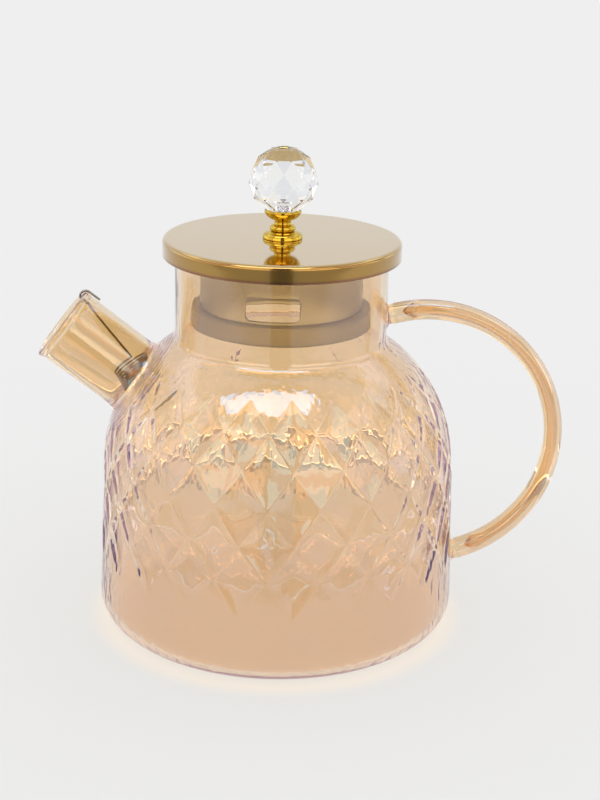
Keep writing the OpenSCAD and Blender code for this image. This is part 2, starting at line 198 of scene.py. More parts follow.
# shape of the blown body, in mm, as in the solids
body = {
    "baseR": 69.9,        # outside radius above the rounded edge
    "shoulderR": 67.8,    # outside radius where the shoulder begins
    "shoulderZ": 66.0,
    "shoulderCurve": 58.5,
    "edge": 11.0,         # radius of the rounded edge of the base
    "neckR": 40.3,
    "neckRows": (118, 122, 126, 130, 134, 138, 142, 145.5),
    "bottomRows": (0, 15, 30, 45, 54),
    "floorRows": (58, 50, 36, 20, 0),
    "fillet": 4.0,
    "rimZ": 150.1,
    "wall": 2.5,
    "floor": 3.2,
    "columns": 22,        # diamonds round the body
    "rows": 5,
    "halfDiamond": 13.8,  # along the glass
    "quiltZ": 27.7,
    "quiltDepth": 1.12,
    "quiltTurn": 5,
    "ridgeSoftness": 0.05,
    "crossings": 0.02,    # softness where ridges cross
    "innerShare": 0.35,   # how much of the pattern shows on the inside of the wall
    "uneven": 0.5,        # how much the depth of the diamonds varies, over this length
    "unevenLong": 9,
    "waver": 0.06,        # unevenness of blown glass, over this length
    "waverLong": 17,
    "waverInside": -0.7,  # and its share inside, where it swells the other way
    "perDiamond": 18,     # columns of points to a diamond
    "crowding": 0.62,     # how much closer the points stand beside a ridge
}
spout = {
    "slope": 37.5, "rootZ": 97.5, "length": 33.4, "outerR": 14.4, "wall": 2.0, "lipOut": 0.9,
    "weldFlare": 1.0, "weldGap": 0.06, "steps": 96, "portLong": 30,
    "bead": ((1, 0), (0.82, 0.35), (0.5, 0.9), (0.22, 1.7), (0.06, 2.8), (0, 4.2)),   # flare's share, height
    "fit": 10,            # length of the root that is shaped to the body
    "above": 20,          # a height at which the tube is clear of the body
    "plain": (2, 12),     # round it the diamonds begin this far off, and are full after this much more
}
handle = {
    "loopR": 50.5, "loopX": 56.5, "loopZ": 75.0,
    "tubeR": 3.9,
    "boreR": 1.8,
    "boreEnd": 6.0,       # solid glass left between the bubble's tip and the weld
    "weldFlare": 1.2,
    "weldGroove": 0.7,    # the waist that the flame drew behind the bead
    "weldGap": 0.06,
    "fit": 7.0,           # length of the end that is shaped to the body
    "plain": (7, 8),      # as the spout's, from the middle of the foot
    "steps": 150,
    "round": 40,
}

sideAngle = atan2(body["baseR"] - body["shoulderR"], body["shoulderZ"] - body["edge"])
sideLength = (body["shoulderZ"] - body["edge"]) / cos(sideAngle)
shoulderX = body["shoulderR"] - body["shoulderCurve"] * cos(sideAngle)
shoulderC = body["shoulderZ"] - body["shoulderCurve"] * sin(sideAngle)
filletX = body["neckR"] + body["fillet"]
filletUp = sqrt((body["shoulderCurve"] + body["fillet"]) ** 2 - (filletX - shoulderX) ** 2)
topAngle = atan2(filletUp, filletX - shoulderX)
shoulderLength = sideLength + body["shoulderCurve"] * (topAngle - sideAngle)


def wallPoint(s, inwards=0.0):
    # point of the wall at a distance s up the glass from the base's rounded edge
    angle = sideAngle if s < sideLength else sideAngle + (s - sideLength) / body["shoulderCurve"]
    if s < sideLength:
        x = body["baseR"] - s * sin(sideAngle)
        z = body["edge"] + s * cos(sideAngle)
    else:
        x = shoulderX + body["shoulderCurve"] * cos(angle)
        z = shoulderC + body["shoulderCurve"] * sin(angle)
    return x - inwards * cos(angle), z - inwards * sin(angle)


def wallPlace(radius, z):
    # distance up the glass and the wall's normal, for a point on or near the wall
    angle = atan2(z - shoulderC, radius - shoulderX)
    if angle < sideAngle:
        return (z - body["edge"]) / cos(sideAngle), sideAngle
    return sideLength + body["shoulderCurve"] * (angle - sideAngle), angle


edgeX = body["baseR"] - body["edge"] / cos(sideAngle)
edgeS = body["edge"] * tan(sideAngle)
quiltStart = (body["quiltZ"] - body["edge"]) / cos(sideAngle)
quiltEnd = quiltStart + (body["rows"] + 1) * body["halfDiamond"]


def sectionLine(inwards):
    # the rows of points are as far apart as the ridges need to run through them
    rows = (body["rows"] + 1) * body["perDiamond"] // 2
    places = [edgeS + (quiltStart - edgeS) * i / 10 for i in range(1, 11)]
    places += [quiltStart + (quiltEnd - quiltStart) * i / rows for i in range(1, rows + 1)]
    places += [quiltEnd + (shoulderLength - quiltEnd) * i / 7 for i in range(1, 8)]
    points = arc((edgeX, body["edge"]), body["edge"] - inwards, -90, degrees(sideAngle), 14)
    points += [wallPoint(s, inwards) for s in places]
    points += arc((filletX, shoulderC + filletUp), body["fillet"] + inwards,
                  degrees(topAngle) + 180, 180, 6)[1:]
    return points


spoutAngle = radians(spout["slope"])
spoutRootX = -(shoulderX + sqrt(body["shoulderCurve"] ** 2 - (spout["rootZ"] - shoulderC) ** 2))
spoutRoot = Vector((spoutRootX, 0, spout["rootZ"]))
spoutAxis = Vector((-cos(spoutAngle), 0, sin(spoutAngle)))
# the spout is drawn upright, then leans over about the Y axis and moves to its root
spoutFrame = Matrix.Translation(spoutRoot * mm) @ Matrix.Rotation(spoutAngle - pi / 2, 4, "Y")
handleFoot = Vector((body["baseR"], 0,
                     handle["loopZ"] - sqrt(handle["loopR"] ** 2 - (body["baseR"] - handle["loopX"]) ** 2)))


def wallNormal(angle, turn):
    return Vector((cos(angle) * cos(turn), cos(angle) * sin(turn), sin(angle)))


def clamp(value):
    return max(0.0, min(1.0, value))


def ripple(x):
    # 0 on a ridge and 1 in the middle of a diamond, with a softly rounded ridge
    k = body["ridgeSoftness"]
    s = sin(pi * (x % 1))
    return (sqrt(s * s + k * k) - k) / (sqrt(1 + k * k) - k)


def quiltPlace(point, s):
    # place among the diamonds: u counts their columns, v their half heights
    turn = degrees(atan2(point.y, point.x)) + 90 - body["quiltTurn"]
    return turn / 360 * body["columns"], (s - quiltStart) / body["halfDiamond"]


def crowd(x):
    # moves a place between two ridges towards the nearer one
    return x - body["crowding"] * sin(2 * pi * x) / (2 * pi)


def crowdedPlace(point, s, inwards):
    # the same point of the wall, in mm, after the points have crowded towards the ridges
    u, v = quiltPlace(point, s)
    rising, falling = crowd(u + v / 2), crowd(v / 2 - u)
    turn = atan2(point.y, point.x) + radians(((rising - falling) / 2 - u) * 360 / body["columns"])
    s = quiltStart + (rising + falling) * body["halfDiamond"]
    x, z = wallPoint(s, inwards)
    return Vector((x * cos(turn), x * sin(turn), z)), s


def quiltDepthAt(point, s):
    # how far the diamonds hollow the glass at a point in mm
    u, v = quiltPlace(point, s)
    middle = (u + v / 2) // 1 + (v / 2 - u) // 1 + 1
    if not 0 < middle < body["rows"] + 1:
        return 0.0
    across = (point - spoutRoot) - (point - spoutRoot).dot(spoutAxis) * spoutAxis
    start, ramp = spout["plain"]
    clear = clamp((across.length - spout["outerR"] - start) / ramp) if point.x < 0 else 1.0
    start, ramp = handle["plain"]
    clear *= clamp(((point - handleFoot).length - start) / ramp)
    rising, falling = ripple(u + v / 2), ripple(v / 2 - u)
    # a blend that keeps the ridges crisp right up to their crossings
    blend = sqrt(2) * rising * falling / hypot(rising, falling, body["crossings"])
    return body["quiltDepth"] * clear * blend


def surfaceTree(piece):
    mesh = bmesh.new()
    mesh.from_mesh(piece.data)
    tree = BVHTree.FromBMesh(mesh)
    mesh.free()
    return tree


def offRidge(x):
    return abs(x - round(x))


def splitAlongRidges(piece):
    # each four-sided face is cut along the ridge that it lies on or beside
    mesh = bmesh.new()
    mesh.from_mesh(piece.data)
    for face in list(mesh.faces):
        if len(face.verts) != 4:
            continue
        corners = list(face.verts)
        points = [face.calc_center_median() / mm] + [corner.co / mm for corner in corners]
        heights = [wallPlace(hypot(*point.xy), point.z)[0] for point in points]
        if not quiltStart < heights[0] < quiltEnd:
            continue
        (u, v), *places = [quiltPlace(point, s) for point, s in zip(points, heights)]
        # the two ends of a diagonal on a rising ridge differ most in u + v / 2
        rises = [u + v / 2 for u, v in places]
        spread = [abs(rises[i] - rises[i + 2]) for i in (0, 1)]
        along = min(spread) if offRidge(u + v / 2) < offRidge(v / 2 - u) else max(spread)
        start = spread.index(along)
        bmesh.utils.face_split(face, corners[start], corners[start + 2])
    mesh.to_mesh(piece.data)
    mesh.free()


def makeBody():
    outer = sectionLine(0)
    inner = [p for p in sectionLine(body["wall"]) if p[1] > body["floor"] + 0.2]
    rimR = body["wall"] / 2
    rim = arc((body["neckR"] - rimR, body["rimZ"] - rimR), rimR, 0, 180, 10)
    neckOut = [(body["neckR"], z) for z in body["neckRows"]]
    neckIn = [(body["neckR"] - body["wall"], z) for (x, z) in reversed(neckOut)]
    bottom = [(r, 0) for r in body["bottomRows"]]
    floorLine = [(r, body["floor"]) for r in body["floorRows"]]
    section = bottom + outer + neckOut + rim + neckIn + inner[::-1] + floorLine
    piece = spinSection("glassBody", section, body["columns"] * body["perDiamond"], closed=False)
    # a column of points stands on the crossings of the ridges
    moveTo(piece, Matrix.Rotation(radians(body["quiltTurn"] - 90), 4, "Z"))
    for vertex in piece.data.vertices:
        point = vertex.co / mm
        radius = hypot(point.x, point.y)
        if radius < 45 and point.z < 20 or radius < 1:
            continue    # the bottom stays flat
        turn = atan2(point.y, point.x)
        s, angle = wallPlace(radius, point.z)
        flat = s > shoulderLength or point.z < body["edge"]
        normal = wallNormal(0 if flat else angle, turn)
        x, z = wallPoint(max(0, min(s, shoulderLength)))
        fromOuter = (x - radius) * cos(angle) + (z - point.z) * sin(angle)
        isInner = fromOuter > body["wall"] / 2 if 0 < s < shoulderLength else radius < body["neckR"] - rimR
        # the glass is even at the base and at the rim
        fade = clamp((point.z - 2) / 12) * clamp((146 - point.z) / 10)
        if quiltStart - 0.01 < s < quiltEnd + 0.01:
            point, s = crowdedPlace(point, s, body["wall"] if isInner else 0)
            angle = wallPlace(hypot(point.x, point.y), point.z)[1]
            normal = wallNormal(angle, atan2(point.y, point.x))
        waver = noise.noise(point / body["waverLong"]) * body["waver"] * fade
        if 0 < s < shoulderLength:
            uneven = 1 + body["uneven"] * noise.noise(point / body["unevenLong"] + Vector((7, 3, 1)))
            point -= normal * quiltDepthAt(point, s) * uneven * (body["innerShare"] if isInner else 1.0)
        point += normal * waver * (body["waverInside"] if isInner else 1.0)
        vertex.co = point * mm
    splitAlongRidges(piece)
    whole = surfaceTree(piece)
    # the port that the spout is fused over
    port = newPiece("port", bpy.ops.mesh.primitive_cylinder_add, vertices=spout["steps"],
                    radius=(spout["outerR"] - spout["wall"]) * mm, depth=spout["portLong"] * mm)
    moveTo(port, spoutFrame)
    carve(piece, port)
    smooth(piece, 50)
    return piece, whole


glassBody, bodyTree = makeBody()
print("body blown")


def makeSpout():
    r = spout["outerR"]
    inR = r - spout["wall"]
    lip = (spout["wall"] + spout["lipOut"]) / 2
    top = spout["length"]
    flare = spout["weldFlare"]
    outside = [(r + flare * share, z) for share, z in spout["bead"]]
    outside += [(r + 0.25 * (z - 6) / (top - 8), z) for z in (6, 9, 12, 16, 20, 24, 28, top - 2 * lip - 0.4)]
    bead = arc((inR + lip, top - lip), lip, -50, 180, 16)
    inside = [(inR, z) for z in (28, 24, 20, 16, 12, 9, 6, 4.2, 2.8, 1.7, 0.9, 0.0)]
    under = [(inR + (r + flare - inR) * k / 6, 0.0) for k in range(1, 6)]
    piece = spinSection("spoutTube", outside + bead + inside + under, spout["steps"])
    # the root follows the glass that it is fused to
    for vertex in piece.data.vertices:
        share = 1 - vertex.co.z / mm / spout["fit"]
        start = spoutFrame @ Vector((vertex.co.x, vertex.co.y, spout["above"] * mm))
        hit = bodyTree.ray_cast(start, -spoutAxis)[0]
        if share > 0 and hit is not None:
            drop = (start - hit).length / mm - spout["above"] - spout["weldGap"]
            vertex.co.z -= drop * share * mm
    moveTo(piece, spoutFrame)
    cleanUp(piece)
    smooth(piece, 60)
    return piece


spoutTube = makeSpout()
loopCentre = Vector((handle["loopX"], 0, handle["loopZ"]))


def handleEnd(turn, way):
    # angle of the loop at which its middle meets the glass, found by stepping along it
    while True:
        a = radians(turn)
        point = loopCentre + handle["loopR"] * Vector((cos(a), 0, sin(a)))
        if bodyTree.ray_cast(point * mm, Vector((-1, 0, 0)), 0.2 * mm)[0] is not None:
            return turn
        turn += way * 0.2


def tubeRadius(share):
    # the drawn tube is a little thicker towards its two roots; share runs from foot to top root
    return handle["tubeR"] + 0.25 * exp(-share / 0.18) - 0.45 * sin(pi * share) ** 2


def spinLoop(name, radius, low, high):
    # a round rod bent along the handle's loop between two angles
    piece = newPiece(name, bpy.ops.mesh.primitive_circle_add, vertices=handle["round"], radius=radius * mm)
    toLoop = Matrix.Translation(Vector((handle["loopR"], 0, 0)) * mm)
    centre = loopCentre * mm
    moveTo(piece, Matrix.Translation(centre) @ Matrix.Rotation(-radians(low), 4, "Y") @ toLoop)
    bend = {"steps": handle["steps"], "angle": radians(high - low), "center": centre, "axis": (0, 1, 0)}
    editWhole(piece, (bpy.ops.mesh.spin, bend), (bpy.ops.mesh.select_all, {"action": "SELECT"}),
              (bpy.ops.mesh.fill_holes, {"sides": 0}))
    cleanUp(piece)
    return piece


def makeHandle():
    low = handleEnd(-60, -1)
    high = handleEnd(95, 1)
    span = radians(high - low) * handle["loopR"]
    rod = spinLoop("handleTube", handle["tubeR"], low, high)
    boreTurn = degrees(handle["boreEnd"] / handle["loopR"])
    bore = spinLoop("handleBore", handle["boreR"], low + boreTurn, high - boreTurn)
    for piece in (rod, bore):
        for vertex in piece.data.vertices:
            point = vertex.co / mm
            arm = point - loopCentre
            arm.y = 0
            turn = degrees(atan2(arm.z, arm.x))
            share = clamp((turn - low) / (high - low))
            distance = min(share, 1 - share) * span
            outwards = arm.normalized()
            middle = loopCentre + outwards * handle["loopR"]
            if piece is rod:
                r = tubeRadius(share) + handle["weldFlare"] * exp(-distance / 1.3)
                r -= handle["weldGroove"] * exp(-((distance - 2.6) / 0.8) ** 2)
            else:
                # the bore is sealed: it ends in a tear-shaped bubble a little short of each root
                clear = distance - handle["boreEnd"]
                r = handle["boreR"] * sqrt(clamp(clear / 4)) * (1 + 0.4 * exp(-((clear - 5) / 3) ** 2))
            point = middle + (point - middle).normalized() * max(r, 0.02)
            if piece is rod and distance < handle["fit"]:
                # the end follows the glass that it is fused to
                way = Vector((outwards.z, 0, -outwards.x)) * (1 if share < 0.5 else -1)
                hit = bodyTree.ray_cast((point - way * 8) * mm, way)
                if hit[0] is not None:
                    gap = (hit[0] / mm - point).dot(way) - handle["weldGap"]
                    if abs(gap) < 7:
                        point += way * gap * (1 - distance / handle["fit"])
            vertex.co = point * mm
    editWhole(bore, (bpy.ops.mesh.flip_normals, {}))
    rod.select_set(True)
    bpy.context.view_layer.objects.active = rod
    bpy.ops.object.join()
    smooth(rod, 60)
    return rod


handleTube = makeHandle()
print("spout and handle welded on")

# the lid, in mm above the table
lid = {
    "capR": 45.0, "capH": 6.6, "sheet": 0.6, "edge": 1.5,
    "flangeZ": 150.4, "flange": 1.2,
    "collarR": 30.8, "collarWall": 1.8, "collarH": 33.0,
    "grooveDeep": 0.6, "land": 1.0, "softEdge": 0.3,
    "bossR": 7.0, "bossH": 2.0,
    "windowW": 19.6, "windowH": 9.0, "windowR": 2.0, "windowOver": 0.7, "windowTurn": -6,
    "windowEdge": 0.25, "barLong": 80,
    "sealR": 34.3, "sealH": 7.5, "sealEdge": 0.8, "sealFit": 0.08,
    "hole": 2.15,
}
capUnder = lid["flangeZ"] + lid["flange"]
capTop = capUnder + lid["sheet"]
collarZ = capUnder - lid["collarH"]
grooveZ = collarZ + lid["land"]
grooveTop = grooveZ + lid["sealH"]


def makeCap():
    r = lid["capR"]
    e = lid["edge"]
    t = lid["sheet"]
    low = capTop - lid["capH"]
    section = [(lid["hole"], capTop), (15, capTop), (30, capTop), (r - e - 1, capTop)]
    section += arc((r - e, capTop - e), e, 90, 0, 8)
    section += [(r, low + 3.2), (r, low + 1.4), (r, low + 0.5)]
    section += arc((r - t / 2, low + t / 2), t / 2, 0, -180, 8)
    section += [(r - t, low + 1.4), (r - t, low + 3.2)]
    section += arc((r - e, capTop - e), e - t, 0, 90, 6)
    section += [(30, capUnder), (15, capUnder), (lid["hole"], capUnder)]
    return spinSection("lidCap", section, 180, 35)


def makeCollar():
    r = lid["collarR"]
    inR = r - lid["collarWall"]
    e = lid["softEdge"]
    out = lid["capR"] - lid["edge"]
    grooveR = r - lid["grooveDeep"]
    roof = lid["flangeZ"]
    section = [(lid["hole"], capUnder), (out - e, capUnder)] + arc((out - e, roof + e), e, 0, -90, 4)
    section += arc((r + 1, roof - 1), 1, 90, 180, 5)
    section += [(r, 146), (r, 141), (r, grooveTop + 12), (r, grooveTop + 0.2)]
    section += [(r - 0.2, grooveTop), (grooveR, grooveTop), (grooveR, grooveZ), (r - 0.2, grooveZ),
                (r, grooveZ - 0.2)]
    section += arc((r - e, collarZ + e), e, 0, -90, 4) + arc((inR + e, collarZ + e), e, -90, -180, 4)
    section += [(inR, grooveZ), (inR, grooveTop), (inR, 141), (inR, 146)]
    section += arc((inR - 1, roof - 1), 1, 0, 90, 5)
    section += [(18, roof), (lid["bossR"] + 0.8, roof)]
    section += arc((lid["bossR"] + 0.8, roof - 0.8), 0.8, 90, 180, 4)
    section += arc((lid["bossR"] - e, roof - lid["bossH"] + e), e, 0, -90, 3)
    section += [(lid["hole"], roof - lid["bossH"])]
    piece = spinSection("lidCollar", section, 192)
    # both windows are cut with one rounded bar
    bar = newPiece("bar", bpy.ops.mesh.primitive_cube_add, size=1)
    moveTo(bar, Matrix.Diagonal((lid["windowW"] * mm, lid["barLong"] * mm, lid["windowH"] * mm, 1)))
    editWhole(bar, (bpy.ops.mesh.select_all, {"action": "DESELECT"}))
    for edge in bar.data.edges:
        first, second = [bar.data.vertices[i].co for i in edge.vertices]
        edge.select = abs(first.y - second.y) > lid["windowR"] * mm
    bpy.ops.object.mode_set(mode="EDIT")
    bpy.ops.mesh.bevel(offset=lid["windowR"] * mm, segments=8, affect="EDGES")
    bpy.ops.object.mode_set(mode="OBJECT")
    windowZ = grooveTop + lid["windowOver"] + lid["windowH"] / 2
    turn = Matrix.Rotation(radians(lid["windowTurn"]), 4, "Z")
    moveTo(bar, Matrix.Translation((0, 0, windowZ * mm)) @ turn)
    carve(piece, bar)
    applyModifier(piece, "BEVEL", width=lid["windowEdge"] * mm, segments=2, limit_method="ANGLE",
                  angle_limit=radians(60))
    smooth(piece, 40)
    return piece


def makeSeal():
    inR = lid["collarR"] - lid["grooveDeep"] + lid["sealFit"]
    low = grooveZ + lid["sealFit"]
    high = grooveTop - lid["sealFit"]
    r = lid["sealR"]
    e = lid["sealEdge"]
    section = arc((r - e, high - e), e, 90, 0, 6) + [(r - 0.02, (low + high) / 2)]
    section += arc((r - e, low + e), e, 0, -90, 6) + [(inR + 0.3, low), (inR, low + 0.3)]
    section += [(inR, high - 0.3), (inR + 0.3, high)]
    return spinSection("sealRing", section, 160, 50)


# the knob, with heights above the cap
knob = {
    "footR": 7.5, "footH": 2.6, "ringR": 4.9, "ringH": 2.6, "waistH": 1.8,
    "cupR": 7.0, "cupLip": 0.75, "cupFloor": 2.6, "seatR": 5.0, "ballR": 13.0, "glue": 0.12,
}
waistUp = knob["footH"] + knob["ringH"] + knob["waistH"]
seatUp = waistUp + knob["cupFloor"]
ballUp = seatUp + sqrt(knob["ballR"] ** 2 - knob["seatR"] ** 2)


def makeHolder():
    foot = knob["footH"] / 2
    ring = knob["ringH"] / 2
    lipX = knob["cupR"] - knob["cupLip"]
    lipY = ballUp - sqrt(knob["ballR"] ** 2 - lipX ** 2)
    dish = knob["ballR"] + knob["glue"]
    section = [(lid["hole"], 0), (knob["footR"] - 0.35, 0)]
    section += arc((knob["footR"] - 0.3, 0.3), 0.3, -80, 0, 5)
    # the foot is a low dome with a step on it
    section += [(knob["footR"] - foot + x, 0.45 + 1.75 * y / foot) for x, y in arc((0, 0), foot, 0, 80, 8)]
    section += [(5.5, 2.3), (5.35, 2.6), (4.6, 2.7), (4.1, 2.8)]
    section += arc((knob["ringR"] - ring, knob["footH"] + ring), ring * 0.96, -75, 75, 14)
    section += [(3.5, 5.26), (3.2, 5.5), (3.1, 5.9), (3.12, 6.5), (3.35, 6.9)]
    # the cup swells out of the neck like a bowl
    section += [(3.9, 7.15), (4.6, 7.4), (5.3, 7.8), (5.9, 8.3), (6.35, 8.85), (6.65, 9.4)]
    section += arc((lipX, lipY), knob["cupLip"], -25, 150, 12)
    for i in range(7):
        x = lipX - 0.5 - (lipX - 0.5 - knob["seatR"] - 0.1) * i / 6
        section.append((x, ballUp - sqrt(dish ** 2 - x ** 2)))
    section += [(knob["seatR"], seatUp), (lid["hole"], seatUp)]
    return spinSection("knobHolder", [(x, y + capTop) for x, y in section], 96, 45)


# the fastener under the lid
fastener = {
    "studR": 2.0, "pitch": 0.7, "thread": 0.38, "washerR": 4.5, "washerH": 0.8,
    "nutW": 7.0, "nutH": 3.2, "tail": 1.5, "studDeep": 6.5,
    "threadUp": 4.0,      # the thread ends this far above the washer
    "threadStep": 0.07,
}
bossZ = lid["flangeZ"] - lid["bossH"]
washerZ = bossZ - fastener["washerH"]
nutZ = washerZ - fastener["nutH"]


def makeStud():
    # a rolled thread below the lid, and a plain shank in the knob
    low = nutZ - fastener["tail"]
    high = capTop + seatUp + fastener["studDeep"]
    threadTop = bossZ + fastener["threadUp"]
    step = fastener["threadStep"]
    crest = fastener["studR"] - 0.02
    section = [(0, low), (fastener["studR"] - 0.5, low)]
    section += [(crest, low + step * i) for i in range(5, int((threadTop - low) / step))]
    section += [(crest, high - 0.6), (fastener["studR"] - 0.6, high), (0, high)]
    piece = spinSection("knobStud", section, 40, closed=False)
    for vertex in piece.data.vertices:
        point = vertex.co / mm
        radius = hypot(point.x, point.y)
        if radius < crest - 0.08 or not low + 0.3 < point.z < threadTop:
            continue
        phase = point.z / fastener["pitch"] - atan2(point.y, point.x) / (2 * pi)
        groove = abs(2 * (phase % 1) - 1)
        keep = 1 - fastener["thread"] * groove / radius
        vertex.co = Vector((point.x * keep, point.y * keep, point.z)) * mm
    smooth(piece, 50)
    return piece


def makeWasher():
    e = 0.15
    r = fastener["washerR"]
    section = arc((r - e, bossZ - e), e, 90, 0, 3) + arc((r - e, washerZ + e), e, 0, -90, 3)
    hole = lid["hole"]
    section += [(hole + e, washerZ), (hole, washerZ + e), (hole, bossZ - e), (hole + e, bossZ)]
    return spinSection("knobWasher", section, 64, 40)


def makeNut():
    # a hexagon turned down at its corners, top and bottom
    cornerR = fastener["nutW"] / 2 / cos(radians(30))
    piece = newPiece("knobNut", bpy.ops.mesh.primitive_cylinder_add, vertices=6, radius=cornerR * mm,
                     depth=fastener["nutH"] * mm)
    moveTo(piece, Matrix.Rotation(radians(30), 4, "Z"))
    half = fastener["nutH"] / 2
    inR = fastener["nutW"] / 2 - 0.1
    side = [(2.03, half - 0.3), (2.4, half), (inR, half), (inR + 0.8, half - 0.4)]
    turned = spinSection("turned", [(x, -z) for x, z in side] + side[::-1], 64)
    carve(piece, turned, "INTERSECT")
    moveTo(piece, Matrix.Translation((0, 0, (nutZ + half) * mm)))
    smooth(piece, 30)
    return piece


lidCap = makeCap()
lidCollar = makeCollar()
sealRing = makeSeal()
knobHolder = makeHolder()
knobStud = makeStud()
knobWasher = makeWasher()
knobNut = makeNut()
print("lid and knob assembled")

# the strainer: one wire in the spout's own frame, x up across the spout and z out of the mouth
strainer = {
    "wireR": 0.45, "coilR": 7.05, "turns": 8, "pitch": 1.35, "spiral": 2, "dish": 0.25, "tilt": 20,
    "coilDeep": 30, "coilUp": 3.4, "hookLen": 5, "hookGap": 0.3, "turnSteps": 32, "sides": 14,
}


def makeStrainer():
    wire = strainer["wireR"]
    armIn = spout["outerR"] - spout["wall"] - wire - strainer["hookGap"]
    hookOut = spout["outerR"] + spout["lipOut"] + strainer["hookGap"] + wire
    hookR = (hookOut - armIn) / 2
    hookTop = spout["length"] + strainer["hookGap"] + wire
    coilFrame = Matrix.Translation((strainer["coilUp"], 0, spout["length"] - strainer["coilDeep"]))
    coilFrame @= Matrix.Rotation(radians(strainer["tilt"]), 4, "Y")
    route = [Vector((hookOut, 0, hookTop - hookR - strainer["hookLen"] * (1 - i / 4))) for i in range(4)]
    route += [Vector((x, 0, z)) for x, z in arc((armIn + hookR, hookTop - hookR), hookR, 0, 180, 16)]
    armEnd = Vector((armIn, 0, hookTop - hookR - spout["wall"]))
    route.append(armEnd)
    steps = strainer["turnSteps"]
    coil = []
    for k in range((strainer["turns"] + strainer["spiral"]) * steps + 1):
        a = pi / 2 + k * 2 * pi / steps
        # after its turns the wire spirals in, into a shallow dish
        inwards = max(0, k - strainer["turns"] * steps) * strainer["pitch"] / steps
        down = min(k / steps, strainer["turns"]) * strainer["pitch"] + strainer["dish"] * inwards
        r = strainer["coilR"] - inwards
        coil.append(coilFrame @ Vector((r * cos(a), r * sin(a), -down)))
    route += [armEnd.lerp(coil[0], i / 8) for i in range(1, 8)] + coil
    piece = newPiece("strainerWire", bpy.ops.curve.primitive_nurbs_path_add)
    curve = piece.data
    curve.splines.clear()
    line = curve.splines.new("POLY")
    line.points.add(len(route) - 1)
    for target, point in zip(line.points, route):
        target.co = (*(point * mm), 1)
    curve.dimensions = "3D"
    curve.twist_mode = "MINIMUM"
    curve.bevel_depth = wire * mm
    curve.bevel_resolution = strainer["sides"] // 2 - 2
    curve.use_fill_caps = True
    bpy.ops.object.convert(target="MESH")
    piece.data.name = piece.name
    moveTo(piece, spoutFrame)
    cleanUp(piece)
    smooth(piece, 60)
    return piece


strainerWire = makeStrainer()
print("strainer wound")


def windowMask(tree, *windows):
    # 1 where each value lies between its two limits and 0 outside, with soft edges
    mask = None
    for value, low, high, soft in windows:
        rise = addNode(tree, "MapRange", [value, low - soft, low + soft, 0, 1], "SMOOTHSTEP")
        fall = addNode(tree, "MapRange", [value, high - soft, high + soft, 1, 0], "SMOOTHSTEP")
        window = addNode(tree, "Math", [rise, fall], "MULTIPLY")
        mask = addNode(tree, "Math", [mask, window], "MULTIPLY") if mask else window
    return mask


def surface(name, **inputs):
    # a material with one shader, its own sockets set, and the place on the piece for its patterns
    material = bpy.data.materials.new(name)
    material.use_nodes = True
    tree = material.node_tree
    shader = tree.nodes["Principled BSDF"]
    plug(shader, {key.replace("_", " "): value for key, value in inputs.items()})
    return material, tree, shader, addNode(tree, "TexCoord").outputs["Object"]


def mottle(tree, shader, place, first, second, **pattern):
    # a colour that wanders a little between two
    cloud = addNode(tree, "TexNoise", {"Vector": place, **pattern})
    plug(shader, {"Base Color": addNode(tree, "Mix", {0: cloud, 6: first, 7: second}, "RGBA")})


# the glass pieces; lengths and heights in metres
lustre = {
    "film": 193.0,            # thickness of the plating, nm, and its index
    "filmIndex": 1.75,
    "mostBends": 9.5,         # light that has bent or mirrored more often is spent
    "mostMirrors": 3.5,
    "patches": 28.0,          # patches of the plating, about 36 mm across
    "pinkFrom": 0.1,          # the tint turns from the clear colour at this height
    "pinkTo": 0.005,          # to the deep one at this height
    "waves": 85.0,            # slow waves that the blown surface keeps, about 12 mm long
    "waveHigh": 0.0006,
    "drag": 320.0,            # the finer drag of the mould, about 3 mm wide
    "dragDrawn": 0.45,        # and drawn out upwards
    "dragHigh": 0.0002,
    "dragEnds": (0.112, 0.12),        # it fades out over these heights
    "dragLeft": 0.2,          # to this share
    "rings": 0.0017,          # rings that the flame left in the glass round the spout's root
    "ringHigh": 0.00014,
    "ringPlace": (0.0135, 0.0215, 0.0025),   # from, to and softness
    "ringBent": 0.004,
}


def flameRings(tree, place, x, waves, normal):
    offRoot = addNode(tree, "VectorMath", [place, spoutRoot * mm], "SUBTRACT")
    across = addNode(tree, "VectorMath", [offRoot, spoutAxis], "CROSS_PRODUCT")
    out = addNode(tree, "VectorMath", [across], "LENGTH")
    bent = addNode(tree, "Math", [waves, lustre["ringBent"], out], "MULTIPLY_ADD")
    turns = addNode(tree, "Math", [bent, 2 * pi / lustre["rings"]], "MULTIPLY")
    wave = addNode(tree, "Math", [turns], "SINE")
    spoutSide = addNode(tree, "Math", [x, 0.0], "LESS_THAN")
    near = addNode(tree, "Math", [windowMask(tree, (out, *lustre["ringPlace"])), spoutSide], "MULTIPLY")
    height = addNode(tree, "Math", [wave, near], "MULTIPLY")
    return addNode(tree, "Bump", {"Distance": lustre["ringHigh"], "Height": height, "Normal": normal})


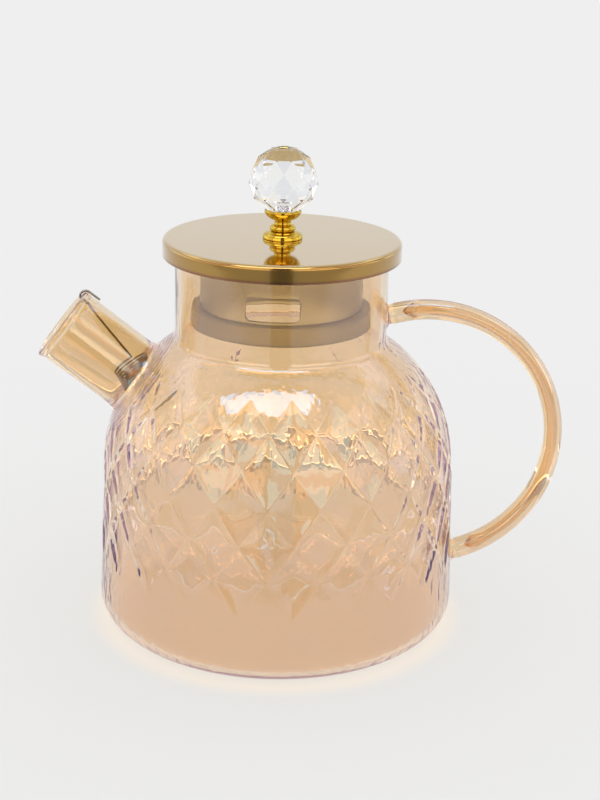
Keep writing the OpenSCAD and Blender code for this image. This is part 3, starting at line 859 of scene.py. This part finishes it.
def amberLustreGlass(name, clear, deep, waviness, dragged, rings=False):
    # blown borosilicate with an ion-plated amber lustre: clear, warm, with violet in its reflections
    material, tree, shader, place = surface(
        name, Roughness=0.0, IOR=1.47, Transmission_Weight=1.0,
        Thin_Film_Thickness=lustre["film"], Thin_Film_IOR=lustre["filmIndex"])
    x, y, z = addNode(tree, "SeparateXYZ", [place]).outputs
    # the tint is creamier high up and pinker towards the base, and wanders in patches
    patches = addNode(tree, "TexNoise", {"Vector": place, "Scale": lustre["patches"]})
    lower = addNode(tree, "MapRange", {"Value": z, "From Min": lustre["pinkFrom"],
                                       "From Max": lustre["pinkTo"]}, "SMOOTHSTEP")
    patchy = addNode(tree, "Math", [patches, 0.4], "MULTIPLY")
    share = addNode(tree, "Math", [lower, 0.6, patchy], "MULTIPLY_ADD")
    tint = addNode(tree, "Mix", {0: share, 6: clear, 7: deep}, "RGBA")
    waves = addNode(tree, "TexNoise", {"Vector": place, "Scale": lustre["waves"], "Detail": 1.0})
    relief = addNode(tree, "Bump", {"Strength": waviness, "Distance": lustre["waveHigh"], "Height": waves})
    drawn = addNode(tree, "Mapping", {"Vector": place, "Scale": (1.0, 1.0, lustre["dragDrawn"])})
    drag = addNode(tree, "TexNoise", {"Vector": drawn, "Scale": lustre["drag"], "Detail": 1.0})
    low, high = lustre["dragEnds"]
    moulded = addNode(tree, "MapRange", {"Value": z, "From Min": high, "From Max": low,
                                         "To Min": dragged * lustre["dragLeft"], "To Max": dragged})
    relief = addNode(tree, "Bump", {"Strength": moulded, "Distance": lustre["dragHigh"], "Height": drag,
                                    "Normal": relief})
    if rings:
        relief = flameRings(tree, place, x, waves, relief)
    plug(shader, {"Base Color": tint, "Normal": relief})
    passLight(tree, shader, "#FFFDFA", "#E2D0D4")
    return material


def passLight(tree, shader, through, caught):
    # lamps and matt surfaces reach what is behind the glass straight through it, a little tinted,
    # and so does light that has already bent many times inside the wall
    rays = addNode(tree, "LightPath").outputs
    straight = addNode(tree, "Math", [rays["Is Shadow Ray"], rays["Is Diffuse Ray"]], "MAXIMUM")
    bent = addNode(tree, "Math", [rays["Ray Depth"], lustre["mostBends"]], "GREATER_THAN")
    mirrored = addNode(tree, "Math", [rays["Glossy Depth"], lustre["mostMirrors"]], "GREATER_THAN")
    spent = addNode(tree, "Math", [bent, mirrored], "MAXIMUM")
    straight = addNode(tree, "Math", [straight, spent], "MAXIMUM")
    # what has been caught in the wall comes out darker and violet, which draws the ridges seen edge on
    tone = addNode(tree, "Mix", {0: spent, 6: through, 7: caught}, "RGBA")
    pane = addNode(tree, "BsdfTransparent", [tone])
    blend = addNode(tree, "MixShader", [straight, shader, pane])
    plug(tree.nodes["Material Output"], {"Surface": blend})


# the gold of the cap, from its hem up to its top, with painted shade on the rim and hem
satin = {
    "shadedStops": [(0.0, "#855430"), (0.13, "#936234"), (0.2, "#AC8432"), (0.86, "#AC8432"), (0.99, "#C4A25C")],
    "grain": 900.0,           # fine marks about 1 mm apart
    "grainHigh": 0.0002,
    "rough": (0.06, 0.11),
    "rimRougher": 0.1,        # on the drawn rim, which starts this far below the top, mm
    "rimDown": 0.9,
}


def satinGold():
    # gold-coloured coating on polished steel: nearly a mirror, with a haze of fine marks
    material, tree, shader, place = surface("satinGoldSteel", Metallic=1.0, Coat_Weight=1.0, Coat_IOR=1.6,
                                            Coat_Roughness=0.05)
    # the colour is darker on the drawn rim than on the flat top, and darkest and reddest at its hem: painted
    # shade on the rim and a painted shadow line at the hem
    z = addNode(tree, "SeparateXYZ", [place]).outputs["Z"]
    up = addNode(tree, "Math", [z, 1 / (lid["capH"] * mm), 1 - capTop / lid["capH"]], "MULTIPLY_ADD")
    tint = addNode(tree, "ValToRGB", [up])
    ramp = tint.color_ramp
    while len(ramp.elements) < len(satin["shadedStops"]):
        ramp.elements.new(0.5)
    for element, (spot, colour) in zip(ramp.elements, satin["shadedStops"]):
        element.position = spot
        element.color = linear(colour)
    grain = addNode(tree, "TexNoise", {"Vector": place, "Scale": satin["grain"]})
    low, high = satin["rough"]
    rough = addNode(tree, "MapRange", {"Value": grain, "To Min": low, "To Max": high})
    rim = addNode(tree, "Math", [z, (capTop - satin["rimDown"]) * mm], "LESS_THAN")
    rough = addNode(tree, "Math", [rim, satin["rimRougher"], rough], "MULTIPLY_ADD")
    relief = addNode(tree, "Bump", {"Strength": 0.02, "Distance": satin["grainHigh"], "Height": grain})
    plug(shader, {"Base Color": tint, "Roughness": rough, "Normal": relief})
    return material


def brightGoldPlate():
    # polished brass with a saturated gold plating: a mirror
    material, tree, shader, place = surface("brightGoldPlate", Metallic=1.0, Roughness=0.05)
    mottle(tree, shader, place, "#CAAA34", "#D0B248", Scale=260.0)
    return material


def cutCrystal():
    # pressed and polished lead-free crystal: sharp facets, clear as water
    material, tree, shader, place = surface("cutCrystal", Roughness=0.0, IOR=1.54, Transmission_Weight=1.0)
    passLight(tree, shader, "#FBFCFD", "#D8D8DA")
    mottle(tree, shader, place, "#FCFDFE", "#F4F7F9", Scale=90.0)
    return material


def mouldedPlastic(name, light, dark, clear, roughness):
    # natural polypropylene and silicone: milky, a little see-through, moulded with a soft sheen
    material, tree, shader, place = surface(name, Roughness=roughness, IOR=1.49, Transmission_Weight=clear)
    mottle(tree, shader, place, light, dark, Scale=60.0, Detail=3.0)
    skin = addNode(tree, "TexNoise", {"Vector": place, "Scale": 1400.0})
    plug(shader, {"Normal": addNode(tree, "Bump", {"Strength": 0.05, "Distance": 0.0001, "Height": skin})})
    return material


def steel(name, light, dark, roughness):
    # drawn or turned stainless steel: fine marks that break up its reflection
    material, tree, shader, place = surface(name, Metallic=1.0, Roughness=roughness)
    mottle(tree, shader, place, light, dark, Scale=1200.0, Detail=3.0)
    return material


bodyGlass = amberLustreGlass("amberLustreGlass", "#F9E5C2", "#F4DFC8", 0.12, 0.8, rings=True)
spoutGlass = amberLustreGlass("spoutLustreGlass", "#F6E1BA", "#F0D2AC", 0.1, 0.15)
handleGlass = amberLustreGlass("handleLustreGlass", "#F3D9B2", "#EFCFA2", 0.1, 0.1)
collarPlastic = mouldedPlastic("milkyPolypropylene", "#FBF4CE", "#F3EAC2", 0.88, 0.3)
sealSilicone = mouldedPlastic("clearSilicone", "#F1E6C1", "#E7DBB3", 0.82, 0.4)
turnedSteel = steel("turnedSteel", "#C9CBCE", "#AEB0B4", 0.25)
wireSteel = steel("drawnStainlessWire", "#A9A59C", "#8D8982", 0.18)
dress(glassBody, "pot", "amber_glass", bodyGlass, "vessel")
dress(spoutTube, "pot", "spout_glass", spoutGlass, "spout")
dress(handleTube, "pot", "handle_glass", handleGlass, "handle")
dress(lidCap, "lid", "gold_steel", satinGold(), "lid_cap")
dress(lidCollar, "lid", "collar_plastic", collarPlastic, "lid_collar")
dress(sealRing, "lid_seal", "seal_rubber", sealSilicone, "seal_ring")
dress(knobHolder, "lid", "gold_plate", brightGoldPlate(), "knob_holder")
dress(knobStud, "lid", "plain_steel", turnedSteel, "knob_stud")
dress(knobWasher, "lid", "plain_steel", turnedSteel, "knob_washer")
dress(knobNut, "lid", "plain_steel", turnedSteel, "knob_nut")
dress(strainerWire, "strainer", "strainer_wire", wireSteel, "strainer")
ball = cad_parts["crystal_ball"]
ball.data.materials.clear()
ball.data.materials.append(cutCrystal())
print("pieces dressed")

# a plain studio: an even pale surround, a softbox overhead and a darker room in front;
# a place is two limits and the softness of its edges: across and the softbox's are tangents of
# an angle, up and front are sines, and the table's are metres from the pot's axis
studio = {
    "surround": 0.863,        # level at which white walls stand
    "front": 0.6,             # the room in front, between and beside the screens
    "frontPlace": (0.05, 2.0, 0.15),
    "frontColour": "#FFEBEE",
    "gap": 0.19,              # the dark gaps round the screens
    "gapAcross": (-1.0, 1.8, 0.1), "gapUp": (-2.0, 1.03, 0.03), "gapFront": (0.08, 2.0, 0.05),
    "screen": 0.74,           # the two screens that stand left and right of the eye
    "screenAcross": (0.19, 1.5, 0.012), "screenUp": (-2.0, 0.93, 0.02),
    "band": 2.15,             # the lamps' light on the screens
    "bandsUp": ((0.0, 0.31, 0.006), (0.55, 0.72, 0.006)),
    "bandColour": "#FFEED4",
    "beside": 0.7,            # how much of the lamps' light reaches the walls at the sides
    "besideFront": (-0.6, 2.0, 0.2), "besideOutside": (-1.0, 1.5, 0.05),
    "slit": 0.3,              # a dark upright in the wall on the right
    "slitPlace": (0.28, 0.46, 0.03),         # from the side backwards
    "softbox": 3.4,
    "softboxPlace": ((-0.64, 0.36, 0.01), (-0.56, -0.19, 0.01)),   # across and front to back
    "floorSize": 12.0,        # metres
    "floorColour": "#EFEFEF",
    "glowColour": "#FBF4EC",  # light that the amber glass gathers on the table round the base
    "glowPlace": (0.064, 0.072, 0.005),
    "strip": 2.4,             # a lit ring on the table, which draws a bright line low on the glass
    "stripPlace": (0.188, 0.193, 0.001),
    "stripColour": "#FFF0DC",
    "shadow": 0.38,           # and a darker ring just inside it
    "shadowPlace": (0.158, 0.187, 0.002),
    "sheen": 0.15,            # and a faint painted glow on the table beyond it, seen only in reflections
    "sheenPlace": (0.193, 0.25, 0.004),
    "tableEnd": (0.3, 0.42),  # mirrored surfaces begin to see the dark room beyond the table here
    "tableGap": (-0.19, 0.19, 0.03),         # and the gap between the screens, across,
    "tableGapFrom": 0.18,     # from here on
    "leastAhead": 0.02,       # smallest divisors of a tangent
    "leastUp": 0.05,
}


def makeWorld():
    world = bpy.data.worlds.new("studio")
    bpy.context.scene.world = world
    world.use_nodes = True
    tree = world.node_tree
    tree.nodes.clear()
    least = studio["leastAhead"]
    x, y, z = addNode(tree, "SeparateXYZ", [addNode(tree, "TexCoord").outputs["Generated"]]).outputs
    toFront = addNode(tree, "Math", [y, -1.0], "MULTIPLY")
    front = windowMask(tree, (toFront, *studio["frontPlace"]))
    ahead = addNode(tree, "Math", [toFront, least], "MAXIMUM")
    across = addNode(tree, "Math", [addNode(tree, "Math", [x, ahead], "DIVIDE")], "ABSOLUTE")
    gap = windowMask(tree, (across, *studio["gapAcross"]), (z, *studio["gapUp"]),
                     (toFront, *studio["gapFront"]))
    screen = windowMask(tree, (across, *studio["screenAcross"]), (z, *studio["screenUp"]))
    screen = addNode(tree, "Math", [screen, gap], "MULTIPLY")
    bands = addNode(tree, "Math", [windowMask(tree, (z, *band)) for band in studio["bandsUp"]], "ADD")
    lamps = addNode(tree, "Math", [screen, bands], "MULTIPLY")
    sides = addNode(tree, "Math", [bands, windowMask(tree, (toFront, *studio["besideFront"]))], "MULTIPLY")
    inside = windowMask(tree, (across, *studio["besideOutside"]))
    outside = addNode(tree, "Math", [1.0, inside], "SUBTRACT")
    sides = addNode(tree, "Math", [sides, outside], "MULTIPLY")
    right = addNode(tree, "Math", [x, least], "MAXIMUM")
    back = addNode(tree, "Math", [y, right], "DIVIDE")
    isRight = addNode(tree, "Math", [x, least], "GREATER_THAN")
    slit = addNode(tree, "Math", [windowMask(tree, (back, *studio["slitPlace"])), isRight], "MULTIPLY")
    up = addNode(tree, "Math", [z, studio["leastUp"]], "MAXIMUM")
    box = windowMask(tree, *[(addNode(tree, "Math", [way, up], "DIVIDE"), *place)
                             for way, place in zip((x, y), studio["softboxPlace"])])
    # each part moves the level on from the one that it lies in
    level = studio["surround"]
    for part, step in ((front, studio["front"] - studio["surround"]), (gap, studio["gap"] - studio["front"]),
                       (sides, studio["beside"]), (slit, studio["slit"] - studio["surround"]),
                       (screen, studio["screen"] - studio["gap"]),
                       (lamps, studio["band"] - studio["screen"]), (box, studio["softbox"])):
        level = addNode(tree, "Math", [part, step, level], "MULTIPLY_ADD")
    # light that reaches a matt surface comes evenly from all sides
    rays = addNode(tree, "LightPath").outputs
    mirrored = addNode(tree, "Math", [rays["Is Glossy Ray"], rays["Is Transmission Ray"]], "MAXIMUM")
    direct = addNode(tree, "Math", [rays["Diffuse Depth"], 0.5], "LESS_THAN")
    mirrored = addNode(tree, "Math", [mirrored, direct], "MULTIPLY")
    seen = addNode(tree, "Math", [rays["Is Camera Ray"], 1 - studio["surround"]], "MULTIPLY")
    even = addNode(tree, "Math", [1.0, seen], "SUBTRACT")
    strength = addNode(tree, "Mix", {"Factor": mirrored, "A": even, "B": level}, "FLOAT")
    offBox = addNode(tree, "Math", [1.0, box], "SUBTRACT")
    cool = addNode(tree, "Math", [front, mirrored], "MULTIPLY")
    cool = addNode(tree, "Math", [cool, offBox], "MULTIPLY")
    warm = addNode(tree, "Math", [lamps, mirrored], "MULTIPLY")
    colour = "#FFFFFF"
    for share, other in ((cool, studio["frontColour"]), (warm, studio["bandColour"])):
        colour = addNode(tree, "Mix", {0: share, 6: colour, 7: other}, "RGBA")
    glow = addNode(tree, "Background", {"Color": colour, "Strength": strength})
    addNode(tree, "OutputWorld", {"Surface": glow})
    print("studio lit")


def makeFloor():
    floor = newPiece("studioFloor", bpy.ops.mesh.primitive_plane_add, size=studio["floorSize"])
    moveTo(floor, Matrix.Translation((0, 0, -0.1 * mm)))
    material, tree, shader, place = surface("paleFloor", Roughness=0.9, Specular_IOR_Level=0.0)
    away = addNode(tree, "VectorMath", [place], "LENGTH")
    glow = windowMask(tree, (away, *studio["glowPlace"]))
    tint = addNode(tree, "Mix", {0: glow, 6: studio["floorColour"], 7: studio["glowColour"]}, "RGBA")
    plug(shader, {"Base Color": tint})
    # mirrored surfaces see the dark room beyond the front edge of the table
    x, y, z = addNode(tree, "SeparateXYZ", [place]).outputs
    toFront = addNode(tree, "Math", [y, -1.0], "MULTIPLY")
    start, end = studio["tableEnd"]
    shade = addNode(tree, "MapRange", {"Value": toFront, "From Min": start, "From Max": end,
                                       "To Max": 1 - studio["front"]}, "SMOOTHSTEP")
    ahead = addNode(tree, "Math", [toFront, studio["leastAhead"]], "MAXIMUM")
    across = addNode(tree, "Math", [x, ahead], "DIVIDE")
    past = addNode(tree, "Math", [toFront, studio["tableGapFrom"]], "GREATER_THAN")
    slit = addNode(tree, "Math", [windowMask(tree, (across, *studio["tableGap"])), past], "MULTIPLY")
    slit = addNode(tree, "Math", [slit, 1 - studio["gap"]], "MULTIPLY")
    shade = addNode(tree, "Math", [shade, slit], "MAXIMUM")
    shadow, strip, sheen = [
        addNode(tree, "Math", [windowMask(tree, (away, *studio[part + "Place"])), studio[part]], "MULTIPLY")
        for part in ("shadow", "strip", "sheen")]
    shade = addNode(tree, "Math", [shade, shadow], "MAXIMUM")
    glossy = addNode(tree, "LightPath").outputs["Is Glossy Ray"]
    shade = addNode(tree, "Math", [shade, glossy], "MULTIPLY")
    dark = addNode(tree, "BsdfDiffuse", {"Color": "#000000"})
    blend = addNode(tree, "MixShader", [shade, shader, dark])
    light = addNode(tree, "Math", [strip, sheen], "ADD")
    light = addNode(tree, "Math", [light, glossy], "MULTIPLY")
    lamp = addNode(tree, "Emission", {"Color": studio["stripColour"], "Strength": light})
    plug(tree.nodes["Material Output"], {"Surface": addNode(tree, "AddShader", [blend, lamp])})
    floor.data.materials.append(material)
    print("floor laid")


makeWorld()
makeFloor()
bpy.context.scene.view_settings.view_transform = "Standard"
